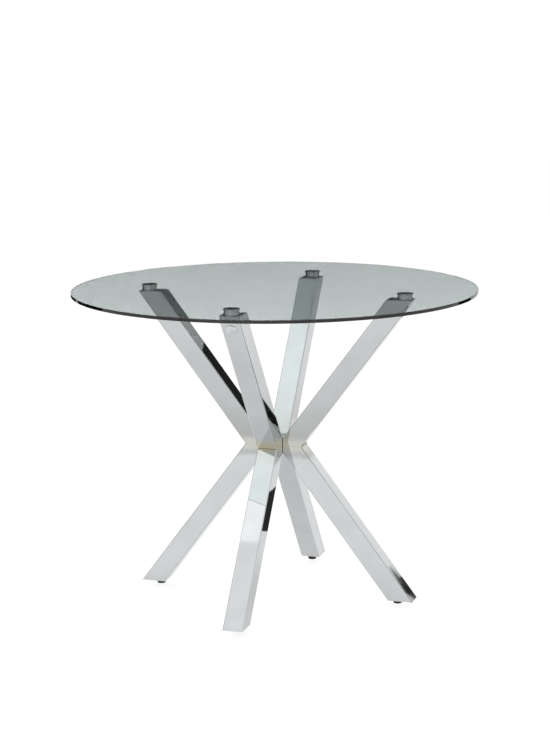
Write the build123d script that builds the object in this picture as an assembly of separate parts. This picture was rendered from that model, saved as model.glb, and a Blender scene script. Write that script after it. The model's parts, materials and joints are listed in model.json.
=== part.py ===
"""Round dining table: a glass disc on four chromed chevron legs that meet at a hub.

Millimetres, +Z up, origin on the floor under the middle of the top.
Each leg is two mitred square tubes in one upright plane. The right leg is
modelled along +X and the others are turned copies of it.
"""

import os
from math import asin, atan2, cos, degrees, hypot, sin, tan

from build123d import *

# Whole table
table_height = 780.0
glass_diameter = 1000.0
glass_thickness = 8.0
glass_arris = 0.8

# Leg tubes: how far the upper arms' cut ends reach from the axis, and how much taller the lower arms are
tube_size = 50.0
tube_wall = 2.0
tube_corner_radius = 2.5
leg_reach = 351.0
lower_arm_extra = 8.0
end_plate_thickness = 4.0

# Hub between the four legs, which stand a little apart at its corners
hub_height = 42.0
hub_wall = 3.0
hub_corner_radius = 8.0
leg_gap = 1.0
hub_cap_thickness = 2.0
hub_cap_edge_radius = 0.6
apex_plate_thickness = 6.0

# Hub bolts: socket heads inside the hub, screwed outwards into the legs
hub_bolt_diameter = 6.0
hub_bolt_length = 16.0
hub_bolt_head_diameter = 10.0
hub_bolt_head_height = 6.0
hub_bolt_key_size = 5.0
hub_bolt_key_depth = 3.0
hub_bolt_spacing = 14.0
hub_washer_diameter = 12.0
hub_washer_thickness = 1.6

# Pads between the legs and the glass, which is bonded to their discs
pad_inset = 21.0
bond_thickness = 0.2
disc_diameter = 40.0
disc_thickness = 2.5
disc_edge_radius = 0.8
boss_diameter = 18.0
boss_height = 8.0
collar_diameter = 36.0
collar_height = 12.5
collar_edge_radius = 0.8

# Pad bolts: button heads inside the legs, screwed up into the discs
pad_bolt_diameter = 8.0
pad_bolt_length = 16.0
pad_bolt_head_diameter = 14.0
pad_bolt_head_height = 4.4
pad_bolt_key_size = 5.0
pad_bolt_key_depth = 2.6
pad_washer_diameter = 16.0
pad_washer_thickness = 1.6

# Snap-in caps over the holes that the pad bolts go in by
access_hole_diameter = 23.0
cap_diameter = 27.0
cap_dome_height = 3.0
cap_edge_radius = 2.0
cap_skirt_wall = 1.5
cap_skirt_length = 4.8
cap_bead_height = 0.5
cap_bead_length = 1.2

# Levelling glides
glide_inset = 43.0
glide_height = 10.5
glide_top_diameter = 24.0
glide_floor_diameter = 21.0
glide_edge_radius = 1.2
glide_floor_thickness = 2.4
stud_diameter = 8.0
stud_length = 36.0
stud_flange_diameter = 14.0
stud_flange_thickness = 2.4
stud_tip_chamfer = 1.0
foot_nut_size = 13.0
foot_nut_height = 6.5

# Clearances
glide_gap = 0.3
thread_clearance = 0.05
turning_clearance = 0.05
bolt_hole_clearance = 0.5
washer_clearance = 0.2
boss_clearance = 0.2
cap_clearance = 0.1

# Places worked out from the sizes above
LEG_ANGLES = {"right": 0.0, "back": 90.0, "left": 180.0, "front": 270.0}
glass_bottom = table_height - glass_thickness
disc_top = glass_bottom - bond_thickness
collar_top = disc_top - disc_thickness
leg_top = collar_top - collar_height
leg_bottom = glide_height + glide_gap
knee_height = (leg_top + leg_bottom + lower_arm_extra) / 2
hub_half = tube_size / 2 + leg_gap

# The arm's inner face starts at the hub's edge and its outer face ends at the cut end's corner
arm_run = leg_reach - hub_half
arm_rise = leg_top - knee_height - hub_height / 2
arm_slope = atan2(arm_rise, arm_run) + asin(tube_size / hypot(arm_run, arm_rise))
end_width = tube_size / sin(arm_slope)
knee_reach = leg_reach - (leg_top - knee_height) / tan(arm_slope)
foot_reach = knee_reach + (knee_height - leg_bottom) / tan(arm_slope)

pad_reach = leg_reach - pad_inset
glide_reach = foot_reach - glide_inset
UP, DOWN = 1, -1


def slab(x_low, x_high, z_low, z_high):
    """A block across the right leg between two distances from the axis and two heights."""
    size = (x_high - x_low, 2 * tube_size, z_high - z_low)
    centre = ((x_low + x_high) / 2, 0, (z_low + z_high) / 2)
    return Pos(*centre) * Box(*size)


def rod(diameter, z_low, z_high):
    """An upright round bar on the Z axis."""
    return Pos(0, 0, (z_low + z_high) / 2) * Cylinder(diameter / 2, z_high - z_low)


def revolved(outline):
    """A turned piece from a closed half outline in the XZ plane."""
    return revolve(make_face(outline), axis=Axis.Z)


def arm_bar(direction, section):
    """A bar of one section along the arm that goes up or down from the knee."""
    middle = (knee_reach - end_width / 2, 0, knee_height)
    along = (cos(arm_slope), 0, direction * sin(arm_slope))
    arm_plane = Plane(origin=middle, x_dir=(0, 1, 0), z_dir=along)
    return extrude(arm_plane * section, amount=2 * table_height, both=True)


def arm_region(direction):
    """The space that one arm may fill: outside the hub, from the mitre to the cut end."""
    low, high = (knee_height, leg_top) if direction == UP else (leg_bottom, knee_height)
    return slab(hub_half, 2 * leg_reach, low, high)


def arm_outside():
    """The tube's outer section."""
    return RectangleRounded(tube_size, tube_size, tube_corner_radius)


def arm_inside():
    """The tube's inner section."""
    inner_size = tube_size - 2 * tube_wall
    inner_radius = max(tube_corner_radius - tube_wall, tube_wall / 5)
    return RectangleRounded(inner_size, inner_size, inner_radius)


def arm_cavity(direction):
    """The hollow of one arm."""
    return arm_bar(direction, arm_inside()) & arm_region(direction)


def cap_plane():
    """The plane of the upper arm's outer face where the pad bolt's axis meets it, facing out."""
    foot = (pad_reach, 0, leg_top - pad_inset * tan(arm_slope))
    return Plane(origin=foot, x_dir=(0, 1, 0), z_dir=(sin(arm_slope), 0, -cos(arm_slope)))


def upper_tube():
    """Upper arm, with the hole for its pad bolt in the face that looks down and out."""
    tube = arm_bar(UP, arm_outside() - arm_inside()) & arm_region(UP)
    drill = cap_plane() * Cylinder(access_hole_diameter / 2, 2 * (tube_corner_radius + tube_wall))
    return tube - drill


def lower_tube():
    """Lower arm, mitred to the upper one at the knee."""
    return arm_bar(DOWN, arm_outside() - arm_inside()) & arm_region(DOWN)


def top_plate():
    """Plate that closes the upper arm's cut end and carries the pad."""
    plate = arm_cavity(UP) & slab(hub_half, 2 * leg_reach, leg_top - end_plate_thickness, leg_top)
    hole = rod(pad_bolt_diameter + 2 * bolt_hole_clearance, leg_top - 2 * end_plate_thickness, glass_bottom)
    return plate - Pos(pad_reach, 0, 0) * hole


def foot_plate():
    """Plate that closes the lower arm's cut end and carries the glide's nut."""
    plate = arm_cavity(DOWN) & slab(hub_half, 2 * leg_reach, leg_bottom, leg_bottom + end_plate_thickness)
    hole = rod(stud_diameter + 2 * bolt_hole_clearance, 0, leg_bottom + 2 * end_plate_thickness)
    return plate - Pos(glide_reach, 0, 0) * hole


def hub_bolt_places():
    """The places of one leg's two hub bolts: on the hub's inner wall, turned to point outwards."""
    inner_wall = hub_half - hub_wall
    heights = [knee_height - hub_bolt_spacing / 2, knee_height + hub_bolt_spacing / 2]
    return [Plane(origin=(inner_wall, 0, z), x_dir=(0, 1, 0), z_dir=(1, 0, 0)) for z in heights]


def hub_bolt_drills(diameter):
    """Round bars on the axes of one leg's two hub bolts."""
    reach = hub_wall + apex_plate_thickness
    return [place * Cylinder(diameter / 2, 4 * reach) for place in hub_bolt_places()]


def apex_plate():
    """Tapped plate inside the leg's apex, where the hub bolts pull it to the hub."""
    slice_ = slab(hub_half, hub_half + apex_plate_thickness, 0, table_height)
    plate = (arm_cavity(UP) & slice_) + (arm_cavity(DOWN) & slice_)
    for drill in hub_bolt_drills(hub_bolt_diameter + 2 * thread_clearance):
        plate -= drill
    return plate


def glass_disc():
    """Disc bonded under the glass, with a tapped boss that sits inside the collar."""
    flange = rod(disc_diameter, collar_top, disc_top)
    flange = fillet(flange.edges().group_by(Axis.Z)[0], disc_edge_radius)
    boss = rod(boss_diameter, collar_top - boss_height, collar_top)
    bore = rod(pad_bolt_diameter + 2 * thread_clearance, leg_top, collar_top + disc_thickness / 2)
    return Pos(pad_reach, 0, 0) * (flange + boss - bore)


def pad_collar():
    """Spacer between the leg and the disc."""
    collar = rod(collar_diameter, leg_top, collar_top)
    collar = fillet(collar.edges().group_by(Axis.Z)[0], collar_edge_radius)
    pocket_floor = collar_top - boss_height - boss_clearance
    pocket = rod(boss_diameter + 2 * boss_clearance, pocket_floor, glass_bottom)
    hole = rod(pad_bolt_diameter + 2 * bolt_hole_clearance, 0, glass_bottom)
    return Pos(pad_reach, 0, 0) * (collar - pocket - hole)


def access_cap():
    """Slightly domed cap with a round edge, a hollow skirt and a snap bead behind the tube's wall."""
    skirt_radius = access_hole_diameter / 2 - cap_clearance
    inside_radius = skirt_radius - cap_skirt_wall
    bead_radius = skirt_radius + cap_bead_height
    bead_start = -(cap_skirt_length - cap_bead_length)
    outline = [
        Line((0, 0, 0), (inside_radius, 0, 0)),
        Line((inside_radius, 0, 0), (inside_radius, 0, -cap_skirt_length)),
        Line((inside_radius, 0, -cap_skirt_length), (skirt_radius, 0, -cap_skirt_length)),
        Line((skirt_radius, 0, -cap_skirt_length), (bead_radius, 0, bead_start)),
        Line((bead_radius, 0, bead_start), (skirt_radius, 0, bead_start)),
        Line((skirt_radius, 0, bead_start), (skirt_radius, 0, 0)),
        Line((skirt_radius, 0, 0), (cap_diameter / 2, 0, 0)),
        Line((0, 0, cap_dome_height), (0, 0, 0)),
    ]
    edge_start = (cap_diameter / 2 - cap_edge_radius, 0, cap_edge_radius)
    dome = TangentArc((0, 0, cap_dome_height), edge_start, tangent=(1, 0, 0))
    edge = TangentArc(edge_start, (cap_diameter / 2, 0, 0), tangent=(1, 0, 0))
    return cap_plane() * revolved(outline + [dome, edge])


def glide_base():
    """Plastic foot with a pocket that holds the stud's flange and lets it turn."""
    floor_radius = glide_floor_diameter / 2
    top_radius = glide_top_diameter / 2
    side = [(0, 0, 0), (floor_radius, 0, 0), (top_radius, 0, glide_height), (0, 0, glide_height)]
    foot = revolved(Polyline(*side, close=True))
    foot = fillet(foot.edges().group_by(Axis.Z)[0], glide_edge_radius)
    pocket_floor = glide_floor_thickness - turning_clearance
    pocket_roof = glide_floor_thickness + stud_flange_thickness + turning_clearance
    pocket = rod(stud_flange_diameter + 2 * turning_clearance, pocket_floor, pocket_roof)
    neck = rod(stud_diameter + 2 * turning_clearance, pocket_floor, leg_bottom)
    return Pos(glide_reach, 0, 0) * (foot - pocket - neck)


def glide_stud():
    """Levelling screw whose flange turns in the glide."""
    flange_top = glide_floor_thickness + stud_flange_thickness
    stud_top = glide_floor_thickness + stud_length
    shank = rod(stud_diameter, glide_floor_thickness, stud_top)
    shank = chamfer(shank.edges().group_by(Axis.Z)[-1], stud_tip_chamfer)
    flange = rod(stud_flange_diameter, glide_floor_thickness, flange_top)
    return Pos(glide_reach, 0, 0) * (shank + flange)


def foot_nut():
    """Weld nut on the foot plate, which the stud screws through."""
    low = leg_bottom + end_plate_thickness
    hexagon = RegularPolygon(foot_nut_size / 2, 6, major_radius=False)
    nut = Pos(0, 0, low) * extrude(hexagon, foot_nut_height)
    return Pos(glide_reach, 0, 0) * (nut - rod(stud_diameter + 2 * thread_clearance, 0, table_height))


def key_socket(size, depth):
    """Hexagonal key socket, sunk upwards from the XY plane."""
    return extrude(RegularPolygon(size / 2, 6, major_radius=False), depth)


def pad_bolt():
    """Button-head bolt from inside the leg up into the disc."""
    seat = leg_top - end_plate_thickness - pad_washer_thickness
    head_bottom = seat - pad_bolt_head_height
    head = rod(pad_bolt_head_diameter, head_bottom, seat)
    head = fillet(head.edges().group_by(Axis.Z)[0], pad_bolt_head_height / 2)
    shank = rod(pad_bolt_diameter, seat, seat + pad_bolt_length)
    socket = Pos(0, 0, head_bottom) * key_socket(pad_bolt_key_size, pad_bolt_key_depth)
    return Pos(pad_reach, 0, 0) * (head + shank - socket)


def pad_washer():
    """Washer between the pad bolt's head and the top plate."""
    high = leg_top - end_plate_thickness
    ring = rod(pad_washer_diameter, high - pad_washer_thickness, high)
    hole = rod(pad_bolt_diameter + 2 * washer_clearance, 0, table_height)
    return Pos(pad_reach, 0, 0) * (ring - hole)


def hub_bolts():
    """One leg's two socket-head bolts, heads inside the hub."""
    head = rod(hub_bolt_head_diameter, -hub_bolt_head_height, 0)
    shank = rod(hub_bolt_diameter, 0, hub_bolt_length)
    socket = Pos(0, 0, -hub_bolt_head_height) * key_socket(hub_bolt_key_size, hub_bolt_key_depth)
    bolt = Pos(0, 0, -hub_washer_thickness) * (head + shank - socket)
    return [place * bolt for place in hub_bolt_places()]


def hub_washers():
    """One leg's two washers on the hub's inner wall."""
    ring = rod(hub_washer_diameter, -hub_washer_thickness, 0)
    washer = ring - rod(hub_bolt_diameter + 2 * washer_clearance, -hub_height, hub_height)
    return [place * washer for place in hub_bolt_places()]


def glass_top():
    """Toughened glass disc with its edges ground back a little."""
    pane = rod(glass_diameter, glass_bottom, table_height)
    return chamfer(pane.edges(), glass_arris)


def hub_outside():
    """The hub's outer section, with corners rounded well back from the legs' edges."""
    return RectangleRounded(2 * hub_half, 2 * hub_half, hub_corner_radius)


def hub_tube():
    """Square hub tube with two bolt holes in each wall."""
    body_height = hub_height - 2 * hub_cap_thickness
    inner_size = 2 * (hub_half - hub_wall)
    inner_radius = max(hub_corner_radius - hub_wall, hub_wall / 5)
    tube = extrude(hub_outside() - RectangleRounded(inner_size, inner_size, inner_radius), body_height)
    tube = Pos(0, 0, knee_height - body_height / 2) * tube
    for angle in LEG_ANGLES.values():
        for drill in hub_bolt_drills(hub_bolt_diameter + 2 * bolt_hole_clearance):
            tube -= Rot(0, 0, angle) * (drill & slab(0, 2 * hub_half, 0, table_height))
    return tube


def hub_cap(direction):
    """Plate that closes the hub's upper or lower end."""
    cap = extrude(hub_outside(), hub_cap_thickness)
    cap = fillet(cap.edges().group_by(Axis.Z)[-1], hub_cap_edge_radius)
    turn = Rot(0 if direction == UP else 180, 0, 0)
    return Pos(0, 0, knee_height) * turn * Pos(0, 0, hub_height / 2 - hub_cap_thickness) * cap


LEG_PIECES = {
    "upper_tube": upper_tube,
    "lower_tube": lower_tube,
    "top_plate": top_plate,
    "foot_plate": foot_plate,
    "apex_plate": apex_plate,
    "glass_disc": glass_disc,
    "pad_collar": pad_collar,
    "access_cap": access_cap,
    "glide_base": glide_base,
    "glide_stud": glide_stud,
}


def around(pieces):
    """One leg's fasteners, repeated on all four legs as a group of separate solids."""
    turned = [Rot(0, 0, angle) * piece for angle in LEG_ANGLES.values() for piece in pieces]
    return Compound(children=turned)


def table():
    """Every node of the table, by name."""
    nodes = {
        "glass_top": glass_top(),
        "hub_tube": hub_tube(),
        "hub_top_cap": hub_cap(UP),
        "hub_bottom_cap": hub_cap(DOWN),
        "hub_bolts": around(hub_bolts()),
        "hub_washers": around(hub_washers()),
        "pad_bolts": around([pad_bolt()]),
        "pad_washers": around([pad_washer()]),
        "foot_nuts": around([foot_nut()]),
    }
    for piece_name, make_piece in LEG_PIECES.items():
        piece = make_piece()
        for leg, angle in LEG_ANGLES.items():
            nodes[f"{leg}_{piece_name}"] = Rot(0, 0, angle) * piece
    return nodes


os.makedirs("parts", exist_ok=True)
for node, shape in table().items():
    export_step(shape, f"parts/{node}.step")
print(f"arms slope {degrees(arm_slope):.2f} degrees")
print(f"knees {knee_reach:.1f} mm and feet {foot_reach:.1f} mm from the axis")
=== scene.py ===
"""Looks of a round dining table: clear glass top, four chromed chevron legs, hub and levelling glides.

Metres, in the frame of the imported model: +Z up, the right leg along +X, the glides' undersides at zero.
"""

import json
import logging
from dataclasses import dataclass
from enum import Enum
from math import asin, atan2, cos, hypot, pi, radians, sin, tan, tau

import bpy
from mathutils import Matrix, Vector


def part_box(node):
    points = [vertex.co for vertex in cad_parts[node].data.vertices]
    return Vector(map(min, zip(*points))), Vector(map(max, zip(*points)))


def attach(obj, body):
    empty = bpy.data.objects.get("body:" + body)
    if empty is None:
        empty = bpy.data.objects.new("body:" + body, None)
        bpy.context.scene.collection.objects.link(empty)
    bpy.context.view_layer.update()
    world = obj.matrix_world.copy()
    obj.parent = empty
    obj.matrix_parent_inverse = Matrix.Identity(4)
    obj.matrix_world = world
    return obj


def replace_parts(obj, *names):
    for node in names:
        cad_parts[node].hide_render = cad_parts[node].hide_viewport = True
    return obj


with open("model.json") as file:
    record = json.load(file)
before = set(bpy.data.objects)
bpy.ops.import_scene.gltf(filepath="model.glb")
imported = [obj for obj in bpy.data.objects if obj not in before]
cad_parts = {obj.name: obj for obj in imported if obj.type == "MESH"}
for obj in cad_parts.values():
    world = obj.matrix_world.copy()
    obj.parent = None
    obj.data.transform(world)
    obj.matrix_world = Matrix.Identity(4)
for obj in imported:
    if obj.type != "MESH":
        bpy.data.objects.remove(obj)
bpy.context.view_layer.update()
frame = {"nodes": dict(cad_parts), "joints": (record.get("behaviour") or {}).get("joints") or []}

LOG = logging.getLogger("dining_table")
TABLE_BODY = "table"
FRAME_HEIGHT_PIXELS = 733
Socket = bpy.types.NodeSocket
Pair = tuple[float, float]
Point = tuple[float, float, float]
Corners = tuple[Point, ...]
Colour = tuple[float, float, float, float]
Stops = tuple[tuple[float, Colour], ...]


class Slot(Enum):
    """The record's material slots."""

    GLASS = "clear_glass"
    CHROME = "chrome"
    PLASTIC = "black_plastic"
    ZINC = "zinc_steel"


class Leg(Enum):
    """The four legs, with the angle of each one's plane round the table's axis in degrees."""

    RIGHT = 0
    BACK = 90
    LEFT = 180
    FRONT = 270

    def part(self, piece: str) -> str:
        """The name of one of this leg's nodes, bodies or pieces."""
        return f"{self.name.lower()}_{piece}"

    def turn(self) -> Matrix:
        """The turn from the right leg's place to this leg's."""
        return Matrix.Rotation(radians(self.value), 4, "Z")


class SocketKind(Enum):
    """The kinds of socket that the node groups here have."""

    GEOMETRY = "NodeSocketGeometry"
    MATERIAL = "NodeSocketMaterial"
    NUMBER = "NodeSocketFloat"
    COUNT = "NodeSocketInt"
    VECTOR = "NodeSocketVector"


class TreeKind(Enum):
    """The two kinds of node tree."""

    SHADER = "ShaderNodeTree"
    GEOMETRY = "GeometryNodeTree"


class NodeCanvas:
    """Places and links the nodes of one tree."""

    def __init__(self, tree: bpy.types.NodeTree) -> None:
        """Keeps the tree that the nodes go into."""
        self.tree = tree

    def add(self, kind: str, sockets: dict | None = None, **settings: object) -> bpy.types.Node:
        """Places a node.

        Args:
            kind: The node's type in Blender.
            sockets: Its inputs by name or number, each with a value or with the socket that feeds it.
            settings: The node's own properties.

        Returns:
            The new node.
        """
        node = self.tree.nodes.new(kind)
        for name, value in settings.items():
            setattr(node, name, value)
        for key, value in (sockets or {}).items():
            if isinstance(value, Socket):
                self.tree.links.new(value, node.inputs[key])
            else:
                node.inputs[key].default_value = value
        return node

    def link(self, source: Socket, node: bpy.types.Node, name: str) -> None:
        """Feeds a node's named input from a socket."""
        self.tree.links.new(source, node.inputs[name])

    def math(self, operation: str, first: object, second: object = 0.0) -> Socket:
        """Does a sum with two values or sockets."""
        return self.add("ShaderNodeMath", {0: first, 1: second}, operation=operation).outputs[0]

    def dot(self, first: object, second: object) -> Socket:
        """Takes the dot product of two vectors."""
        node = self.add("ShaderNodeVectorMath", {0: first, 1: second}, operation="DOT_PRODUCT")
        return node.outputs["Value"]

    def spread(self, value: object, low: object, high: object, to_low: object, to_high: object) -> Socket:
        """Maps one range of a value onto another, held at its ends.

        Args:
            value: The socket to map.
            low: Where the first range starts.
            high: Where the first range ends.
            to_low: What its start becomes.
            to_high: What its end becomes.

        Returns:
            The socket with the result.
        """
        return self.add("ShaderNodeMapRange", {0: value, 1: low, 2: high, 3: to_low, 4: to_high}).outputs[0]

    def mix(self, share: object, first: object, second: object) -> Socket:
        """Mixes two numbers, with a share of the second."""
        return self.add("ShaderNodeMix", {0: share, 2: first, 3: second}).outputs[0]

    def tint(self, share: object, first: object, second: object) -> Socket:
        """Mixes two colours, with a share of the second."""
        return self.add("ShaderNodeMix", {0: share, 6: first, 7: second}, data_type="RGBA").outputs[2]

    def multiply(self, first: object, second: object) -> Socket:
        """Multiplies two colours."""
        sockets = {0: 1.0, 6: first, 7: second}
        return self.add("ShaderNodeMix", sockets, data_type="RGBA", blend_type="MULTIPLY").outputs[2]

    def ramp(self, value: object, stops: Stops) -> Socket:
        """Reads a colour off a ramp that runs from the first stop to the last.

        Args:
            value: The socket with the value to look up.
            stops: The values at which the colours stand, in rising order.

        Returns:
            The socket with the colour.
        """
        low, high = stops[0][0], stops[-1][0]
        node = self.add("ShaderNodeValToRGB", {0: self.spread(value, low, high, 0.0, 1.0)})
        marks = node.color_ramp.elements
        for mark in list(marks)[1:]:
            marks.remove(mark)
        marks[0].position = 0.0
        marks[0].color = stops[0][1]
        for height, colour in stops[1:]:
            marks.new((height - low) / (high - low)).color = colour
        return node.outputs[0]

    def noise(self, place: Socket, scale: object, detail: float = 2.0, roughness: float = 0.5) -> Socket:
        """Places a noise texture.

        Args:
            place: The socket with the place on the surface.
            scale: How many blots there are to the metre.
            detail: How many finer layers there are.
            roughness: How strong each finer layer is.

        Returns:
            The socket with the noise, about 0.5.
        """
        sockets = {"Vector": place, "Scale": scale, "Detail": detail, "Roughness": roughness}
        return self.add("ShaderNodeTexNoise", sockets).outputs[0]

    def realized(self, geometry: Socket, finish: Socket) -> Socket:
        """Ends a geometry tree: makes its instances real and gives the whole its material."""
        whole = self.add("GeometryNodeRealizeInstances", {"Geometry": geometry}).outputs[0]
        return self.add("GeometryNodeSetMaterial", {"Geometry": whole, "Material": finish}).outputs[0]


@dataclass(frozen=True)
class NodeGroup:
    """The outside of a node tree: its name and its named inputs and outputs."""

    name: str
    kind: TreeKind
    inputs: dict[str, SocketKind]
    outputs: dict[str, SocketKind]

    def open(self) -> tuple[NodeCanvas, dict[str, Socket], bpy.types.Node]:
        """Makes the empty tree.

        Returns:
            The canvas to draw on, the inputs by name and the output node.
        """
        tree = bpy.data.node_groups.new(self.name, self.kind.value)
        for name, kind in self.inputs.items():
            tree.interface.new_socket(name, in_out="INPUT", socket_type=kind.value)
        for name, kind in self.outputs.items():
            tree.interface.new_socket(name, in_out="OUTPUT", socket_type=kind.value)
        canvas = NodeCanvas(tree)
        given = canvas.add("NodeGroupInput")
        return canvas, {name: given.outputs[name] for name in self.inputs}, canvas.add("NodeGroupOutput")


def blank(owner: bpy.types.Material | bpy.types.World) -> NodeCanvas:
    """Empties the node tree of a material or a world.

    Args:
        owner: The material or world.

    Returns:
        The canvas of its tree.
    """
    owner.use_nodes = True
    owner.node_tree.nodes.clear()
    return NodeCanvas(owner.node_tree)


def put(name: str, data: bpy.types.ID) -> bpy.types.Object:
    """Puts a new object in the scene.

    Args:
        name: The object's name.
        data: Its mesh, lamp or camera.

    Returns:
        The object, at the origin.
    """
    thing = bpy.data.objects.new(name, data)
    bpy.context.scene.collection.objects.link(thing)
    return thing


class SurfaceEffects:
    """The shader groups that several finishes share, each built once."""

    PATCH_EDGES: Pair = (0.42, 0.7)
    PATCH_SHARE: float = 0.75
    MARK_EDGES: Pair = (0.5, 0.75)
    MARK_SHARE: float = 0.25
    SPECKS: float = 900.0
    SPECK_EDGES: Pair = (0.4, 0.65)
    THINNEST_DUST: float = 0.2

    @classmethod
    def polishing_marks(cls) -> bpy.types.NodeTree:
        """Cloudy patches and fine marks that a polishing cloth leaves, as a mask and a roughness.

        Returns:
            The group's tree.
        """
        found = bpy.data.node_groups.get("polishing_marks")
        if found:
            return found
        number = SocketKind.NUMBER
        inputs = {
            "Place": SocketKind.VECTOR, "Patches": number, "Marks": number, "Clean": number, "Hazy": number,
        }
        group = NodeGroup("polishing_marks", TreeKind.SHADER, inputs, {"Haze": number, "Roughness": number})
        canvas, given, result = group.open()
        cloudy = canvas.noise(given["Place"], given["Patches"], detail=3.0)
        patches = canvas.spread(cloudy, *cls.PATCH_EDGES, 0.0, cls.PATCH_SHARE)
        fine = canvas.noise(given["Place"], given["Marks"], detail=6.0, roughness=0.7)
        marks = canvas.spread(fine, *cls.MARK_EDGES, 0.0, cls.MARK_SHARE)
        haze = canvas.math("ADD", patches, marks)
        canvas.link(haze, result, "Haze")
        rough = canvas.spread(haze, 0.0, 1.0, given["Clean"], given["Hazy"])
        canvas.link(rough, result, "Roughness")
        return canvas.tree

    @staticmethod
    def surface_ripple() -> bpy.types.NodeTree:
        """Broad ripples with a finer grain on them, as a height for a bump.

        Returns:
            The group's tree.
        """
        found = bpy.data.node_groups.get("surface_ripple")
        if found:
            return found
        number = SocketKind.NUMBER
        inputs = {"Place": SocketKind.VECTOR, "Ripples": number, "Grain": number, "Grain Share": number}
        group = NodeGroup("surface_ripple", TreeKind.SHADER, inputs, {"Height": number})
        canvas, given, result = group.open()
        broad = canvas.noise(given["Place"], given["Ripples"], detail=1.0)
        fine = canvas.noise(given["Place"], given["Grain"], detail=2.0)
        canvas.link(canvas.mix(given["Grain Share"], broad, fine), result, "Height")
        return canvas.tree

    @classmethod
    def floor_dust(cls) -> bpy.types.NodeTree:
        """Dust that thins out upwards from the floor, as a mask.

        Returns:
            The group's tree.
        """
        found = bpy.data.node_groups.get("floor_dust")
        if found:
            return found
        number = SocketKind.NUMBER
        inputs = {"Place": SocketKind.VECTOR, "Reach": number, "Amount": number}
        canvas, given, result = NodeGroup("floor_dust", TreeKind.SHADER, inputs, {"Dust": number}).open()
        height = canvas.add("ShaderNodeSeparateXYZ", {0: given["Place"]}).outputs[2]
        fade = canvas.spread(height, 0.0, given["Reach"], 1.0, 0.0)
        specks = canvas.noise(given["Place"], cls.SPECKS, detail=4.0, roughness=0.7)
        specks = canvas.spread(specks, *cls.SPECK_EDGES, cls.THINNEST_DUST, 1.0)
        dust = canvas.math("MULTIPLY", canvas.math("MULTIPLY", fade, specks), given["Amount"])
        canvas.link(dust, result, "Dust")
        return canvas.tree


@dataclass(frozen=True)
class Polish:
    """A cloth's patches and marks to the metre, and how rough the surface is where clean and where hazy."""

    patches: float
    marks: float
    clean: float
    hazy: float

    def marked(self, canvas: NodeCanvas, place: Socket) -> bpy.types.Node:
        """Places the marks in a material.

        Args:
            canvas: The canvas of the material's tree.
            place: The socket with the place on the surface.

        Returns:
            The group node.
        """
        sockets = {"Place": place, "Patches": self.patches, "Marks": self.marks}
        sockets.update({"Clean": self.clean, "Hazy": self.hazy})
        return canvas.add("ShaderNodeGroup", sockets, node_tree=SurfaceEffects.polishing_marks())


@dataclass(frozen=True)
class Ripple:
    """A surface's ripples and grain to the metre, the grain's share, and the bump's strength and height."""

    broad: float
    grain: float
    share: float
    strength: float
    height: float

    def bump(self, canvas: NodeCanvas, place: Socket) -> Socket:
        """Places the ripples in a material.

        Args:
            canvas: The canvas of the material's tree.
            place: The socket with the place that the ripples are read at.

        Returns:
            The socket with the bent normal.
        """
        sockets = {"Place": place, "Ripples": self.broad, "Grain": self.grain, "Grain Share": self.share}
        group = canvas.add("ShaderNodeGroup", sockets, node_tree=SurfaceEffects.surface_ripple())
        bump = {"Strength": self.strength, "Distance": self.height, "Height": group.outputs["Height"]}
        return canvas.add("ShaderNodeBump", bump).outputs[0]


@dataclass(frozen=True)
class Dust:
    """How high dust lies over the floor, and how much of it there is."""

    reach: float
    amount: float

    def mask(self, canvas: NodeCanvas, place: Socket) -> Socket:
        """The socket with the dust's mask in a material."""
        sockets = {"Place": place, "Reach": self.reach, "Amount": self.amount}
        return canvas.add("ShaderNodeGroup", sockets, node_tree=SurfaceEffects.floor_dust()).outputs[0]


@dataclass(frozen=True)
class Finish:
    """What every finish has: a name, the record's slot that it stands for, and a material made once."""

    name: str
    slot: Slot

    def material(self) -> bpy.types.Material:
        """Makes the material, or finds it if it is already there.

        Returns:
            The material.
        """
        found = bpy.data.materials.get(self.name)
        if found:
            return found
        material = bpy.data.materials.new(self.name)
        canvas = blank(material)
        place = canvas.add("ShaderNodeTexCoord").outputs["Object"]
        self.draw(canvas, place, canvas.add("ShaderNodeOutputMaterial"))
        return material

    def draw(self, canvas: NodeCanvas, place: Socket, output: bpy.types.Node) -> None:
        """Draws the material's nodes.

        Args:
            canvas: The canvas of the material's tree.
            place: The socket with the place on the surface.
            output: The material's output node.
        """
        raise NotImplementedError


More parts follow.
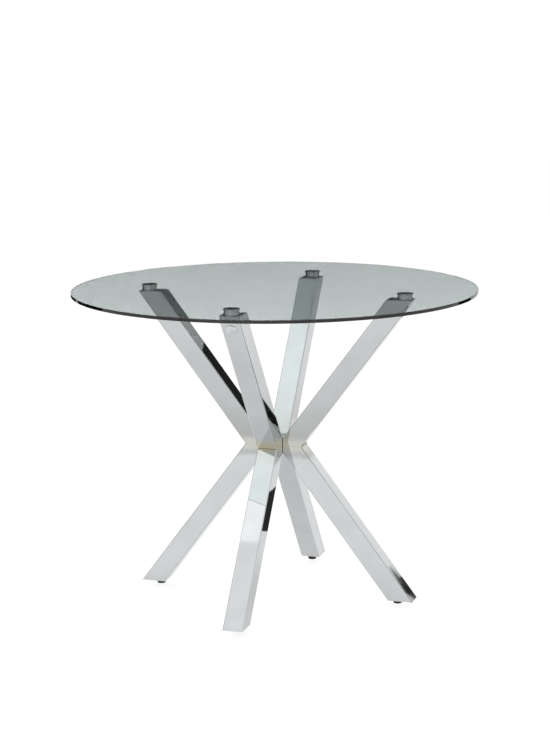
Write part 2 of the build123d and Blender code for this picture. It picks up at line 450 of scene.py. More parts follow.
@dataclass(frozen=True)
class ChromePlate(Finish):
    """Bright chrome on ground and polished steel."""

    bright: Colour = (0.61, 0.625, 0.635, 1.0)
    dull: Colour = (0.56, 0.575, 0.58, 1.0)
    dusty: Colour = (0.42, 0.41, 0.39, 1.0)
    dust_roughness: float = 0.3
    polish: Polish = Polish(patches=14.0, marks=420.0, clean=0.02, hazy=0.06)
    dust: Dust = Dust(reach=0.03, amount=0.25)
    ripple: Ripple = Ripple(broad=34.0, grain=900.0, share=0.06, strength=1.0, height=0.00005)

    def draw(self, canvas: NodeCanvas, place: Socket, output: bpy.types.Node) -> None:
        """Draws the plate: polishing haze, a faint ripple of the ground steel and dust at the feet.

        Args:
            canvas: The canvas of the material's tree.
            place: The socket with the place on the surface.
            output: The material's output node.
        """
        marks = self.polish.marked(canvas, place)
        dust = self.dust.mask(canvas, place)
        plated = self.plated(canvas, place, canvas.tint(marks.outputs["Haze"], self.bright, self.dull))
        rougher = canvas.math("MULTIPLY", dust, self.dust_roughness)
        sockets = {
            "Base Color": canvas.tint(dust, plated, self.dusty),
            "Metallic": 1.0,
            "Roughness": canvas.math("ADD", marks.outputs["Roughness"], rougher),
            "Normal": self.ripple.bump(canvas, self.ripple_place(canvas, place)),
        }
        plate = canvas.add("ShaderNodeBsdfPrincipled", sockets)
        canvas.link(plate.outputs[0], output, "Surface")

    def ripple_place(self, canvas: NodeCanvas, place: Socket) -> Socket:
        """The place that the ripple is read at."""
        return place

    def plated(self, canvas: NodeCanvas, place: Socket, colour: Socket) -> Socket:
        """The plate's own colour at a place."""
        return colour


# Painted reflection and painted shade multiplied into the chrome round each knee, by the height over the weld
PAINTED_KNEE_REFLECTION: Stops = (
    (-0.034, (1.0, 1.0, 1.0, 1.0)),
    (-0.021, (0.75, 0.75, 0.73, 1.0)),
    (-0.008, (0.92, 0.905, 0.84, 1.0)),
    (0.006, (0.94, 0.915, 0.82, 1.0)),
    (0.018, (0.88, 0.88, 0.85, 1.0)),
    (0.110, (1.0, 1.0, 1.0, 1.0)),
)
PAINTED_WARM_KNEE_REFLECTION: Stops = (
    (-0.034, (1.0, 1.0, 1.0, 1.0)),
    (-0.012, (0.94, 0.93, 0.90, 1.0)),
    (-0.002, (0.98, 0.92, 0.80, 1.0)),
    (0.004, (0.98, 0.88, 0.66, 1.0)),
    (0.018, (1.0, 0.92, 0.74, 1.0)),
    (0.030, (0.90, 0.90, 0.90, 1.0)),
    (0.110, (1.0, 1.0, 1.0, 1.0)),
)


@dataclass(frozen=True)
class ChromeTube(ChromePlate):
    """Chrome on a drawn tube: its ripples run along the tube, and painted reflection and shade lie in bands
    across it at the knee.
    """

    ripple: Ripple = Ripple(broad=80.0, grain=900.0, share=0.01, strength=1.0, height=0.00001)
    along: Point = (0.0, 0.0, 1.0)
    stretch: float = 0.95
    weld_height: float = 0.0
    ragged: float = 0.006
    ragged_blots: float = 60.0
    painted_knee_bands: Stops = PAINTED_KNEE_REFLECTION

    def ripple_place(self, canvas: NodeCanvas, place: Socket) -> Socket:
        """The place drawn together along the tube, which stretches the ripples that way.

        Args:
            canvas: The canvas of the material's tree.
            place: The socket with the place on the surface.

        Returns:
            The socket with that place.
        """
        share = canvas.math("MULTIPLY", canvas.dot(place, self.along), self.stretch)
        shift = {0: self.along, "Scale": share}
        shift = canvas.add("ShaderNodeVectorMath", shift, operation="SCALE").outputs[0]
        return canvas.add("ShaderNodeVectorMath", {0: place, 1: shift}, operation="SUBTRACT").outputs[0]

    def plated(self, canvas: NodeCanvas, place: Socket, colour: Socket) -> Socket:
        """The plate's own colour with painted reflection and shade round the knee, by the height over the
        weld.

        Args:
            canvas: The canvas of the material's tree.
            place: The socket with the place on the surface.
            colour: The socket with the colour of the plate without the painted bands.

        Returns:
            The socket with the tinted colour.
        """
        height = canvas.add("ShaderNodeSeparateXYZ", {0: place}).outputs[2]
        uneven = canvas.spread(canvas.noise(place, self.ragged_blots), 0.0, 1.0, -self.ragged, self.ragged)
        over = canvas.math("ADD", canvas.math("SUBTRACT", height, self.weld_height), uneven)
        # Painted reflection and painted shade: the plate's colour times bands round the knee
        return canvas.multiply(colour, canvas.ramp(over, self.painted_knee_bands))


@dataclass(frozen=True)
class ClearGlass(Finish):
    """Clear float glass whose slight grey-green tint turns black along the pane."""

    refraction: float = 1.52
    swallowed: Colour = (0.0, 0.42, 0.38, 1.0)
    density: float = 16.0
    clean: Colour = (1.0, 1.0, 1.0, 1.0)
    smeared: Colour = (0.97, 0.975, 0.975, 1.0)
    polish: Polish = Polish(patches=7.0, marks=160.0, clean=0.0, hazy=0.02)

    def draw(self, canvas: NodeCanvas, place: Socket, output: bpy.types.Node) -> None:
        """Draws the glass: faint smears, a tint by depth, and clear to lamp light.

        Args:
            canvas: The canvas of the material's tree.
            place: The socket with the place on the surface.
            output: The material's output node.
        """
        marks = self.polish.marked(canvas, place)
        sockets = {
            "Base Color": canvas.tint(marks.outputs["Haze"], self.clean, self.smeared),
            "Roughness": marks.outputs["Roughness"],
            "Metallic": 0.0,
            "IOR": self.refraction,
            "Transmission Weight": 1.0,
        }
        glass = canvas.add("ShaderNodeBsdfPrincipled", sockets).outputs[0]
        clear = canvas.add("ShaderNodeBsdfTransparent").outputs[0]
        lamp_ray = canvas.add("ShaderNodeLightPath").outputs["Is Shadow Ray"]
        surface = canvas.add("ShaderNodeMixShader", {0: lamp_ray, 1: glass, 2: clear})
        depth = canvas.add("ShaderNodeVolumeAbsorption", {"Color": self.swallowed, "Density": self.density})
        canvas.link(surface.outputs[0], output, "Surface")
        canvas.link(depth.outputs[0], output, "Volume")


@dataclass(frozen=True)
class MouldedPlastic(Finish):
    """Matte black moulded plastic, scuffed where it stands on the floor."""

    black: Colour = (0.012, 0.012, 0.013, 1.0)
    worn: Colour = (0.03, 0.03, 0.031, 1.0)
    dusty: Colour = (0.16, 0.155, 0.15, 1.0)
    polish: Polish = Polish(patches=160.0, marks=2200.0, clean=0.42, hazy=0.6)
    dust: Dust = Dust(reach=0.003, amount=0.5)
    ripple: Ripple = Ripple(broad=500.0, grain=3200.0, share=0.7, strength=0.5, height=0.00015)

    def draw(self, canvas: NodeCanvas, place: Socket, output: bpy.types.Node) -> None:
        """Draws the plastic: a sparked mould's grain, worn patches and dust low down.

        Args:
            canvas: The canvas of the material's tree.
            place: The socket with the place on the surface.
            output: The material's output node.
        """
        marks = self.polish.marked(canvas, place)
        scuffed = canvas.tint(marks.outputs["Haze"], self.black, self.worn)
        sockets = {
            "Base Color": canvas.tint(self.dust.mask(canvas, place), scuffed, self.dusty),
            "Metallic": 0.0,
            "Roughness": marks.outputs["Roughness"],
            "Normal": self.ripple.bump(canvas, place),
        }
        plastic = canvas.add("ShaderNodeBsdfPrincipled", sockets)
        canvas.link(plastic.outputs[0], output, "Surface")


@dataclass(frozen=True)
class ZincPlate(Finish):
    """Bright zinc on fasteners and studs, with its faint patchy bloom."""

    bright: Colour = (0.56, 0.58, 0.6, 1.0)
    bloom: Colour = (0.43, 0.44, 0.43, 1.0)
    polish: Polish = Polish(patches=260.0, marks=1800.0, clean=0.22, hazy=0.42)
    ripple: Ripple = Ripple(broad=700.0, grain=4200.0, share=0.4, strength=0.3, height=0.0001)

    def draw(self, canvas: NodeCanvas, place: Socket, output: bpy.types.Node) -> None:
        """Draws the plate: patchy bloom and the grain of the plated steel.

        Args:
            canvas: The canvas of the material's tree.
            place: The socket with the place on the surface.
            output: The material's output node.
        """
        marks = self.polish.marked(canvas, place)
        sockets = {
            "Base Color": canvas.tint(marks.outputs["Haze"], self.bright, self.bloom),
            "Metallic": 1.0,
            "Roughness": marks.outputs["Roughness"],
            "Normal": self.ripple.bump(canvas, place),
        }
        plate = canvas.add("ShaderNodeBsdfPrincipled", sockets)
        canvas.link(plate.outputs[0], output, "Surface")


CHROME = ChromePlate("bright_chrome", Slot.CHROME)
# The weld bead's chrome, coloured with a painted warm reflection
WELD = ChromePlate(
    "chrome_with_painted_warm_reflection", Slot.CHROME, bright=(0.62, 0.56, 0.45, 1.0), dull=(0.5, 0.45, 0.36, 1.0)
)
GLASS = ClearGlass("clear_float_glass", Slot.GLASS)
PLASTIC = MouldedPlastic("black_moulded_plastic", Slot.PLASTIC)
ZINC = ZincPlate("bright_zinc", Slot.ZINC)


def dress(node: str, finish: Finish) -> None:
    """Gives a CAD node its finish.

    Args:
        node: The node's name.
        finish: The finish that it gets.
    """
    for slot in frame["nodes"][node].material_slots:
        slot.material = finish.material()
    LOG.info("dressed %s in %s", node, finish.name)


@dataclass(frozen=True)
class GrownPiece:
    """A piece that a geometry tree grows, on its CAD body."""

    name: str
    body: str
    finish: Finish

    def grow(
        self, tree: bpy.types.NodeTree, sizes: dict, seed: bpy.types.Mesh, place: Matrix
    ) -> bpy.types.Object:
        """Runs the tree once and keeps its result as a plain mesh.

        Args:
            tree: The geometry tree.
            sizes: The tree's inputs by name, apart from its finish.
            seed: The mesh that the tree starts from.
            place: Where the result goes in the frame.

        Returns:
            The finished object, at the origin and riding on its body.
        """
        piece = put(self.name, seed)
        modifier = piece.modifiers.new("grow", "NODES")
        modifier.node_group = tree
        values = {**sizes, "Finish": self.finish.material()}
        for socket in tree.interface.items_tree:
            if socket.in_out == "INPUT" and socket.name in values:
                modifier[socket.identifier] = values[socket.name]
        evaluated = piece.evaluated_get(bpy.context.evaluated_depsgraph_get())
        grown = bpy.data.meshes.new_from_object(evaluated)
        piece.modifiers.clear()
        grown.transform(place)
        grown.name = self.name
        piece.data = grown
        bpy.data.meshes.remove(seed)
        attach(piece, self.body)
        LOG.info("made %s on %s, %d faces", self.name, self.body, len(grown.polygons))
        return piece


@dataclass(frozen=True)
class WeldBead:
    """The dressed weld round a leg's knee: along both flanks and through the crease between the arms."""

    radius: float = 0.0016
    proud: float = 0.0001
    crease_offset: float = 0.0010
    corner: float = 0.0030
    corner_steps: int = 6
    start: float = 0.0020
    step: float = 0.0005
    ripple_length: float = 0.0019
    ripple_share: float = 0.04
    sides: int = 12

    def tree(self) -> bpy.types.NodeTree:
        """A bead that follows a path: rounded corners, a round section and a weld's small ripples.

        Returns:
            The geometry tree.
        """
        found = bpy.data.node_groups.get("weld_bead")
        if found:
            return found
        number = SocketKind.NUMBER
        inputs = {
            "Path": SocketKind.GEOMETRY, "Bead Radius": number, "Corner Radius": number, "Step": number,
            "Ripple Length": number, "Ripple Share": number, "Sides": SocketKind.COUNT,
            "Finish": SocketKind.MATERIAL,
        }
        group = NodeGroup("weld_bead", TreeKind.GEOMETRY, inputs, {"Bead": SocketKind.GEOMETRY})
        canvas, given, result = group.open()
        path = canvas.add("GeometryNodeMeshToCurve", {"Mesh": given["Path"]}).outputs[0]
        bent = {"Curve": path, "Count": self.corner_steps, "Radius": given["Corner Radius"]}
        bent = canvas.add("GeometryNodeFilletCurve", bent, mode="POLY").outputs[0]
        even = {"Curve": bent, "Length": given["Step"]}
        even = canvas.add("GeometryNodeResampleCurve", even, mode="LENGTH").outputs[0]
        along = canvas.add("GeometryNodeSplineParameter").outputs["Length"]
        phase = canvas.math("MULTIPLY", canvas.math("DIVIDE", along, given["Ripple Length"]), tau)
        swell = canvas.math("MULTIPLY", canvas.math("SINE", phase), given["Ripple Share"])
        section = {"Resolution": given["Sides"], "Radius": given["Bead Radius"]}
        section = canvas.add("GeometryNodeCurvePrimitiveCircle", section).outputs[0]
        bead = {"Curve": even, "Profile Curve": section, "Fill Caps": True}
        bead["Scale"] = canvas.math("ADD", swell, 1.0)
        bead = canvas.add("GeometryNodeCurveToMesh", bead).outputs[0]
        smooth = canvas.add("GeometryNodeSetShadeSmooth", {"Geometry": bead}).outputs[0]
        canvas.link(canvas.realized(smooth, given["Finish"]), result, "Bead")
        return canvas.tree

    def lay(self, leg: Leg, hub_edge: float, knee: float, flank: float, height: float) -> bpy.types.Object:
        """Lays the bead round one leg's knee.

        Args:
            leg: The leg.
            hub_edge: How far from the axis the leg meets the hub.
            knee: How far from the axis the crease is.
            flank: How far each flank is from the leg's middle plane.
            height: How high the knee is.

        Returns:
            The bead's object.
        """
        inner = hub_edge + self.start
        outer = knee + self.crease_offset
        side = flank - (self.radius - self.proud)
        corners = [(x, y, height) for x, y in ((inner, side), (outer, side), (outer, -side), (inner, -side))]
        seed = bpy.data.meshes.new("weld_path")
        seed.from_pydata(corners, [(0, 1), (1, 2), (2, 3)], [])
        sizes = {
            "Bead Radius": self.radius, "Corner Radius": self.corner, "Step": self.step,
            "Ripple Length": self.ripple_length, "Ripple Share": self.ripple_share, "Sides": self.sides,
        }
        return GrownPiece(leg.part("knee_weld"), TABLE_BODY, WELD).grow(self.tree(), sizes, seed, leg.turn())


@dataclass(frozen=True)
class ThreadedStud:
    """A levelling stud with its rolled thread, which shows as the glide is let down."""

    shank_radius: float = 0.0040
    pitch: float = 0.00125
    depth: float = 0.00077
    crest: float = 0.12
    root: float = 0.78
    tip_chamfer: float = 0.0010
    flange_radius: float = 0.0070
    flange_height: float = 0.0024
    flange_sides: int = 48
    around: int = 32
    rings_per_turn: int = 6
    end_share: float = 0.0001
    seam: float = 0.000002

    def tree(self) -> bpy.types.NodeTree:
        """A rod with a right-hand thread and a plain flange at its lower end, grown from a flat grid.

        Returns:
            The geometry tree.
        """
        found = bpy.data.node_groups.get("threaded_stud")
        if found:
            return found
        number, count = SocketKind.NUMBER, SocketKind.COUNT
        inputs = {
            "Seed": SocketKind.GEOMETRY, "Radius": number, "Length": number, "Pitch": number, "Depth": number,
            "Tip Chamfer": number, "Flange Radius": number, "Flange Height": number, "Around": count,
            "Rings": count, "Finish": SocketKind.MATERIAL,
        }
        group = NodeGroup("threaded_stud", TreeKind.GEOMETRY, inputs, {"Stud": SocketKind.GEOMETRY})
        canvas, given, result = group.open()
        columns = canvas.math("ADD", given["Around"], 1.0)
        sheet = {"Size X": 1.0, "Size Y": 1.0, "Vertices X": columns, "Vertices Y": given["Rings"]}
        sheet = canvas.add("GeometryNodeMeshGrid", sheet).outputs[0]
        spot = canvas.add("ShaderNodeSeparateXYZ", {0: canvas.add("GeometryNodeInputPosition").outputs[0]})
        turn = canvas.math("ADD", spot.outputs[0], 0.5)
        share = canvas.math("ADD", spot.outputs[1], 0.5)
        height = canvas.math("MULTIPLY", share, given["Length"])
        wound = canvas.math("SUBTRACT", canvas.math("DIVIDE", height, given["Pitch"]), turn)
        wound = canvas.math("MULTIPLY", canvas.math("FRACT", wound), 2.0)
        flank = canvas.math("ABSOLUTE", canvas.math("SUBTRACT", wound, 1.0))
        cut = canvas.spread(flank, self.crest, self.root, 0.0, 1.0)
        threaded = canvas.math("SUBTRACT", given["Radius"], canvas.math("MULTIPLY", cut, given["Depth"]))
        to_tip = canvas.math("SUBTRACT", given["Length"], height)
        tapered = canvas.math("ADD", canvas.math("SUBTRACT", given["Radius"], given["Tip Chamfer"]), to_tip)
        past_start = canvas.math("GREATER_THAN", share, self.end_share)
        before_end = canvas.math("LESS_THAN", share, 1.0 - self.end_share)
        inside = canvas.math("MULTIPLY", past_start, before_end)
        radius = canvas.math("MULTIPLY", canvas.math("MINIMUM", threaded, tapered), inside)
        angle = canvas.math("MULTIPLY", turn, tau)
        across = canvas.math("MULTIPLY", radius, canvas.math("COSINE", angle))
        deep = canvas.math("MULTIPLY", radius, canvas.math("SINE", angle))
        point = canvas.add("ShaderNodeCombineXYZ", {0: across, 1: deep, 2: height}).outputs[0]
        rod = canvas.add("GeometryNodeSetPosition", {"Geometry": sheet, "Position": point}).outputs[0]
        rod = canvas.add("GeometryNodeMergeByDistance", {"Geometry": rod, "Distance": self.seam}).outputs[0]
        thick = given["Flange Height"]
        flange = {"Vertices": self.flange_sides, "Radius": given["Flange Radius"], "Depth": thick}
        flange = canvas.add("GeometryNodeMeshCylinder", flange).outputs[0]
        lift = canvas.add("ShaderNodeCombineXYZ", {2: canvas.math("DIVIDE", thick, 2.0)}).outputs[0]
        flange = canvas.add("GeometryNodeTransform", {"Geometry": flange, "Translation": lift}).outputs[0]
        join = canvas.add("GeometryNodeJoinGeometry")
        canvas.link(rod, join, "Geometry")
        canvas.link(flange, join, "Geometry")
        canvas.link(canvas.realized(join.outputs[0], given["Finish"]), result, "Stud")
        return canvas.tree

    def cut(self, leg: Leg) -> bpy.types.Object:
        """Makes one leg's stud where its CAD node is, and stands for that node.

        Args:
            leg: The leg.

        Returns:
            The stud's object.
        """
        node = leg.part("glide_stud")
        low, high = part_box(node)
        length = high.z - low.z
        sizes = {
            "Radius": self.shank_radius, "Length": length, "Pitch": self.pitch, "Depth": self.depth,
            "Tip Chamfer": self.tip_chamfer, "Flange Radius": self.flange_radius,
            "Flange Height": self.flange_height, "Around": self.around,
            "Rings": round(length / self.pitch * self.rings_per_turn),
        }
        place = Matrix.Translation(((low.x + high.x) / 2, (low.y + high.y) / 2, low.z))
        seed = bpy.data.meshes.new("stud_seed")
        seed.from_pydata([(0.0, 0.0, 0.0)], [], [])
        piece = GrownPiece(leg.part("threaded_stud"), leg.part("stud"), ZINC)
        stud = piece.grow(self.tree(), sizes, seed, place)
        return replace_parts(stud, node)


@dataclass(frozen=True)
class GlassTop:
    """The round pane, turned finely enough for its rim to refract like ground and polished glass."""

    node: str = "glass_top"
    arris: float = 0.0008
    segments: int = 720
    sharp_degrees: float = 30.0

    def build(self) -> bpy.types.Object:
        """Turns the pane where its CAD node is, and stands for that node.

        Returns:
            The pane's object.
        """
        low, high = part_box(self.node)
        rim = high.x
        inner = rim - self.arris
        profile = [(inner, high.z), (rim, high.z - self.arris), (rim, low.z + self.arris), (inner, low.z)]
        count = self.segments
        angles = [tau * i / count for i in range(count)]
        points = [(r * cos(a), r * sin(a), z) for r, z in profile for a in angles]
        last = len(points) - count
        faces = [tuple(range(count)), tuple(reversed(range(last, last + count)))]
        for start in range(0, last, count):
            below = start + count
            for i in range(count):
                after = (i + 1) % count
                faces.append((start + i, below + i, below + after, start + after))
        mesh = bpy.data.meshes.new("glass_pane")
        mesh.from_pydata(points, [], faces)
        mesh.polygons.foreach_set("use_smooth", [False, False] + [True] * last)
        mesh.set_sharp_from_angle(angle=radians(self.sharp_degrees))
        mesh.materials.append(GLASS.material())
        pane = put("glass_pane", mesh)
        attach(pane, TABLE_BODY)
        LOG.info("made glass_pane on %s, %d faces", TABLE_BODY, len(faces))
        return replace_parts(pane, self.node)


@dataclass(frozen=True)
class Hub:
    """The closed square hub and the fasteners inside it."""

    shell: tuple[str, ...] = ("hub_tube", "hub_top_cap", "hub_bottom_cap")
    fasteners: tuple[str, ...] = ("hub_bolts", "hub_washers")

    def build(self) -> None:
        """Dresses the hub."""
        for node in self.shell:
            dress(node, CHROME)
        for node in self.fasteners:
            dress(node, ZINC)

    def height(self) -> float:
        """The hub's height over both caps."""
        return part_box("hub_top_cap")[1].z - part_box("hub_bottom_cap")[0].z


@dataclass(frozen=True)
class ChevronLeg:
    """One leg: two mitred tubes with their plates, the pad under the glass and the cap over its bolt."""

    leg: Leg
    hub: Hub
    weld: WeldBead = WeldBead()
    tubes: tuple[str, ...] = ("upper_tube", "lower_tube")
    chromed: tuple[str, ...] = ("top_plate", "foot_plate", "glass_disc", "pad_collar", "access_cap")
    hidden: tuple[str, ...] = ("apex_plate",)

    def build(self) -> None:
        """Dresses the leg's nodes and lays the weld round its knee."""
        low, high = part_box(Leg.RIGHT.part("upper_tube"))
        slope = self.slope(low, high)
        # The front knee gets a painted warm reflection, the others a fainter painted reflection and shade
        painted_bands = PAINTED_WARM_KNEE_REFLECTION if self.leg is Leg.FRONT else PAINTED_KNEE_REFLECTION
        for tube, rise in zip(self.tubes, (sin(slope), -sin(slope))):
            along = self.leg.turn() @ Vector((cos(slope), 0.0, rise))
            name = f"chrome_{self.leg.part(tube)}"
            finish = ChromeTube(name, Slot.CHROME, along=tuple(along), weld_height=low.z, painted_knee_bands=painted_bands)
            dress(self.leg.part(tube), finish)
        for piece in self.chromed:
            dress(self.leg.part(piece), CHROME)
        for piece in self.hidden:
            dress(self.leg.part(piece), ZINC)
        crease = high.x - (high.z - low.z) / tan(slope)
        self.weld.lay(self.leg, low.x, crease, high.y, low.z)

    def slope(self, low: Vector, high: Vector) -> float:
        """How steep the arms are.

        Args:
            low: The right upper tube's lowest corner.
            high: The right upper tube's highest corner.

        Returns:
            Their angle to the floor.
        """
        run = high.x - low.x
        rise = high.z - low.z - self.hub.height() / 2
        tube = high.y - low.y
        return atan2(rise, run) + asin(tube / hypot(run, rise))


@dataclass(frozen=True)
class LevellingGlide:
    """One levelling glide: the plastic foot and the stud that turns in it."""

    leg: Leg
    stud: ThreadedStud = ThreadedStud()

    def build(self) -> None:
        """Dresses the foot and makes the stud."""
        dress(self.leg.part("glide_base"), PLASTIC)
        self.stud.cut(self.leg)


@dataclass(frozen=True)
class LegFasteners:
    """The bolts, washers and nuts inside the legs."""

    nodes: tuple[str, ...] = ("pad_bolts", "pad_washers", "foot_nuts")

    def build(self) -> None:
        """Dresses the fasteners."""
        for node in self.nodes:
            dress(node, ZINC)


@dataclass(frozen=True)
class StudioCard:
    """A card or panel that shows only as a reflection, not to the eye and not as a shadow.

    Its glow is 1 for white at the frame's origin, and changes by its drift for each metre along X, Y and Z.
    """

    name: str
    corners: Corners
    glow: float
    drift: Point = (0.0, 0.0, 0.0)
    through_glass: bool = False

    def stand(self) -> None:
        """Puts the card in the studio."""
        mesh = bpy.data.meshes.new(self.name)
        mesh.from_pydata(list(self.corners), [], [tuple(range(len(self.corners)))])
        material = bpy.data.materials.new(self.name)
        canvas = blank(material)
        place = canvas.add("ShaderNodeTexCoord").outputs["Object"]
        strength = canvas.math("ADD", canvas.dot(place, self.drift), self.glow)
        light = canvas.add("ShaderNodeEmission", {"Strength": strength})
        canvas.link(light.outputs[0], canvas.add("ShaderNodeOutputMaterial"), "Surface")
        mesh.materials.append(material)
        panel = put(self.name, mesh)
        panel.visible_camera = False
        panel.visible_diffuse = False
        panel.visible_transmission = self.through_glass
        panel.visible_shadow = False
        LOG.info("studio: %s", self.name)


def upright(start: Pair, end: Pair, low: float, high: float) -> Corners:
    """The four corners of an upright panel over a line on the floor, between two heights."""
    return ((*start, low), (*end, low), (*end, high), (*start, high))


def level(low: Pair, high: Pair, height: float) -> Corners:
    """The four corners of a level panel between two corners in plan, at one height."""
    return ((*low, height), (high[0], low[1], height), (*high, height), (low[0], high[1], height))


def cut_out(outline: tuple[Pair, ...], depth: float) -> Corners:
    """The corners of an upright panel of any outline in X and Z, at one place along Y."""
    return tuple((x, depth, z) for x, z in outline)


@dataclass(frozen=True)
class Studio:
    """A white paper floor with low screens, black flags, a soft box and a bright ceiling in a dark room.

    A glow of 1 is white. The room's edges are heights and depths of the way that a ray goes, from -1 to 1.
    """

    floor_half: float = 9.0
    floor_colour: Colour = (0.3, 0.3, 0.3, 1.0)
    glow_seen: float = 0.84
    # In reflections the floor glows less near the table: a painted shadow under it
    glow_mirrored_painted_shadow: float = 0.6
    glow_mirrored_far: float = 0.775
    mirrored_reach: Pair = (0.1, 0.45)
    glow_through_near: float = 0.77
    glow_through_far: float = 1.37
    through_reach: Pair = (1.5, 4.2)
    fill_strength: float = 0.62
    dark_room: float = 0.02
    side_light: float = 0.8
    ceiling: float = 1.1
    horizon: Pair = (0.06, 0.11)
    dark_end_behind: Pair = (0.3, 0.45)
    dark_end_ahead: Pair = (-0.6, -0.45)
    ceiling_edge: Pair = (0.62, 0.72)
    lamp_size: float = 2.4
    lamp_watts: float = 36.0
    lamp_place: Point = (-0.9, -1.2, 2.9)
    lamp_aim: Point = (0.0, 0.0, 0.3)

    def build(self) -> None:
        """Sets up the floor, the surroundings and the lamp."""
        self.floor()
        for card in self.cards():
            card.stand()
        self.world()
        self.lamp()

    def floor(self) -> None:
        """The paper floor, as low as the glides go: white to the eye, with the table's shadow on it."""
        half = self.floor_half
        let_down = max(joint["range_m"][1] for joint in frame["joints"] if joint["type"] == "slide")
        mesh = bpy.data.meshes.new("paper_floor")
        mesh.from_pydata(list(level((-half, -half), (half, half), -let_down)), [], [(0, 1, 2, 3)])
        material = bpy.data.materials.new("white_paper")
        canvas = blank(material)
        ray = canvas.add("ShaderNodeLightPath")
        place = canvas.add("ShaderNodeTexCoord").outputs["Object"]
        away = canvas.add("ShaderNodeVectorMath", {0: place}, operation="LENGTH").outputs["Value"]
        # Painted shadow under the table, seen only in reflections: the glow is lower near the middle
        mirrored = canvas.spread(away, *self.mirrored_reach, self.glow_mirrored_painted_shadow, self.glow_mirrored_far)
        through = canvas.spread(away, *self.through_reach, self.glow_through_near, self.glow_through_far)
        glow = canvas.math("MULTIPLY", ray.outputs["Is Camera Ray"], self.glow_seen)
        glow = canvas.mix(ray.outputs["Is Glossy Ray"], glow, mirrored)
        glow = canvas.mix(ray.outputs["Is Transmission Ray"], glow, through)
        light = canvas.add("ShaderNodeEmission", {"Strength": glow})
        paper = canvas.add("ShaderNodeBsdfDiffuse", {"Color": self.floor_colour})
        both = canvas.add("ShaderNodeAddShader", {0: light.outputs[0], 1: paper.outputs[0]})
        canvas.link(both.outputs[0], canvas.add("ShaderNodeOutputMaterial"), "Surface")
        mesh.materials.append(material)
        floor = put("paper_floor", mesh)

    def cards(self) -> list[StudioCard]:
        """The screens, flags and soft box that the polished tubes pick up.

        Returns:
            The cards, not yet standing.
        """
        black, near_black = 0.02, 0.03
        behind, ahead, right = 2.0, -4.15, 2.2
        screen_left, screen_right, screen_join = 0.2, 1.25, 0.4
        rise = 0.112
        low_screen = upright((screen_left, behind), (screen_right, behind), 0.0, screen_join)
        high_screen = upright((screen_left, behind), (screen_right, behind), screen_join, 0.9)
        left_backdrop = upright((-3.5, behind), (screen_left, behind), 0.25, 0.82)
        right_backdrop = upright((screen_right, behind), (3.5, behind), 0.0, 0.82)
        streak_top = ((1.016, 0.410), (1.060, 0.363), (1.095, 0.320), (1.117, 0.264))
        streak_foot = ((1.095, 0.235), (1.015, 0.328), (1.045, 0.354))
        streak = cut_out(streak_top + streak_foot, 1.98)
        box = cut_out(((0.19, 0.008), (0.37, 0.002), (0.37, 0.124), (0.231, 0.124), (0.19, 0.163)), 0.515)
        paper_ahead = level((-2.2, -4.0), (0.8, -1.72), 0.002)
        shade = level((-0.31, -0.5), (-0.07, -0.08), 0.001)
        return [
            StudioCard("soft_box", level((-1.75, -1.7), (-0.1, -0.3), 2.5), 1.4, through_glass=True),
            StudioCard("white_screen_low", low_screen, 0.867, drift=(0.0, 0.0, 0.33)),
            StudioCard("white_screen_high", high_screen, 1.05),
            StudioCard("black_streak", streak, near_black),
            StudioCard("black_backdrop_left", left_backdrop, black),
            StudioCard("black_backdrop_right", right_backdrop, black),
            StudioCard("white_screen_left", upright((-right, -1.5), (-right, -0.3), 0.0, 1.0), 0.9),
            StudioCard("black_side_left", upright((-2.3, -0.3), (-3.5, behind), 0.1, 0.7), black),
            StudioCard("white_screen_right", upright((right, -1.5), (right, behind), 0.0, 1.0), 0.9),
            StudioCard("grey_paper_rise", upright((-3.0, ahead), (3.0, ahead), 0.0, rise), 0.98),
            StudioCard("white_screen_ahead", upright((-3.0, ahead), (3.0, ahead), rise, 1.0), 1.3),
            StudioCard("white_card_near", upright((0.3, -0.6), (1.3, -0.6), 0.3, 0.77), 1.1),
            StudioCard("grey_paper_ahead", paper_ahead, 0.735, drift=(0.0, -0.06, 0.0)),
            StudioCard("shade_below", shade, 0.8, drift=(0.0, -0.26, 0.0)),
            StudioCard("dark_mat", level((0.38, -0.3), (0.9, 0.45), 0.002), 0.05),
            StudioCard("low_black_box", box, near_black),
        ]

    def world(self) -> None:
        """White behind the object, an even fill, and in reflections a bright ceiling over two dark ends.

        The dark ends are pale along the horizon, so that the glass stays clear when it is seen edge on.
        """
        world = bpy.data.worlds.new("studio")
        canvas = blank(world)
        way = canvas.add("ShaderNodeSeparateXYZ", {0: canvas.add("ShaderNodeTexCoord").outputs["Generated"]})
        depth, height = way.outputs[1], way.outputs[2]
        end = canvas.spread(height, *self.horizon, self.side_light, self.dark_room)
        behind = canvas.spread(depth, *self.dark_end_behind, self.side_light, end)
        ahead = canvas.spread(depth, *self.dark_end_ahead, end, self.side_light)
        walls = canvas.math("MINIMUM", behind, ahead)
        room = canvas.spread(height, *self.ceiling_edge, walls, self.ceiling)
        ray = canvas.add("ShaderNodeLightPath")
        picked_up = canvas.math("MAXIMUM", ray.outputs["Is Glossy Ray"], ray.outputs["Is Transmission Ray"])
        plain = canvas.spread(ray.outputs["Is Camera Ray"], 0.0, 1.0, self.fill_strength, 1.0)
        sockets = {"Color": (1.0, 1.0, 1.0, 1.0), "Strength": canvas.mix(picked_up, plain, room)}
        light = canvas.add("ShaderNodeBackground", sockets)
        canvas.link(light.outputs[0], canvas.add("ShaderNodeOutputWorld"), "Surface")
        bpy.context.scene.world = world

    def lamp(self) -> None:
        """One large lamp overhead, for the shadow."""
        lamp = bpy.data.lights.new("overhead", "AREA")
        lamp.size = self.lamp_size
        lamp.energy = self.lamp_watts
        holder = put("overhead", lamp)
        holder.location = self.lamp_place
        aim = Vector(self.lamp_aim) - holder.location
        holder.rotation_euler = aim.to_track_quat("-Z", "Y").to_euler()
        holder.visible_glossy = False
        holder.visible_transmission = False


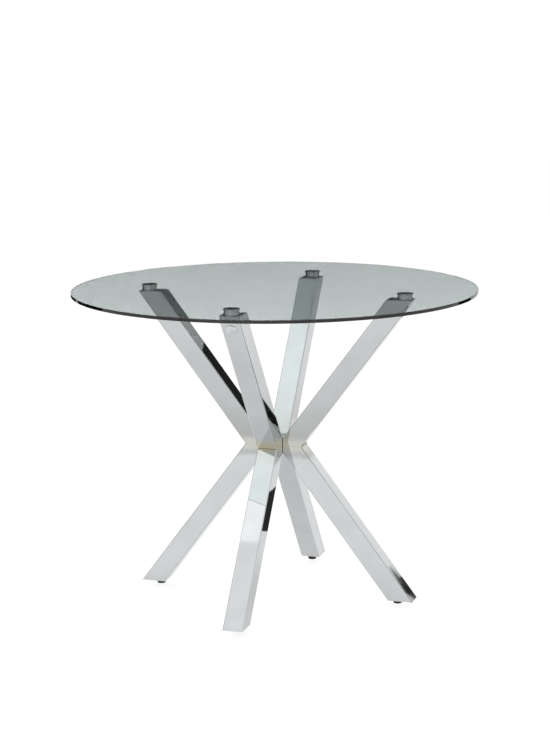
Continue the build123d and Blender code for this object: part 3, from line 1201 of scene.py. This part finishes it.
@dataclass(frozen=True)
class PhotoCamera:
    """The place that the photograph was taken from, fitted to points measured in it."""

    distance: float = 4.6065
    height: float = 1.4464
    azimuth: float = 17.584
    yaw: float = -0.009
    pitch: float = 10.617
    roll: float = -0.528
    focal_pixels: float = 1887.5
    sensor_millimetres: float = 36.0

    def stand(self) -> None:
        """Makes the scene's camera."""
        camera = bpy.data.cameras.new("photo_camera")
        camera.sensor_width = self.sensor_millimetres
        camera.lens = self.focal_pixels / FRAME_HEIGHT_PIXELS * self.sensor_millimetres
        round_table = Matrix.Rotation(radians(self.azimuth), 4, "Z")
        place = round_table @ Matrix.Translation((0, -self.distance, self.height))
        turn = Matrix.Rotation(-radians(self.yaw), 4, "Z")
        aim = turn @ Matrix.Rotation(pi / 2 - radians(self.pitch), 4, "X")
        holder = put("photo_camera", camera)
        holder.matrix_world = place @ aim @ Matrix.Rotation(radians(self.roll), 4, "Z")
        bpy.context.scene.camera = holder


def main() -> None:
    """Builds the table's looks and the studio round it."""
    logging.basicConfig(level=logging.INFO, format="%(name)s: %(message)s")
    bpy.context.scene.view_settings.view_transform = "Standard"
    PhotoCamera().stand()
    Studio().build()
    hub = Hub()
    GlassTop().build()
    hub.build()
    for leg in Leg:
        ChevronLeg(leg, hub).build()
        LevellingGlide(leg).build()
    LegFasteners().build()


if __name__ == "__main__":
    main()
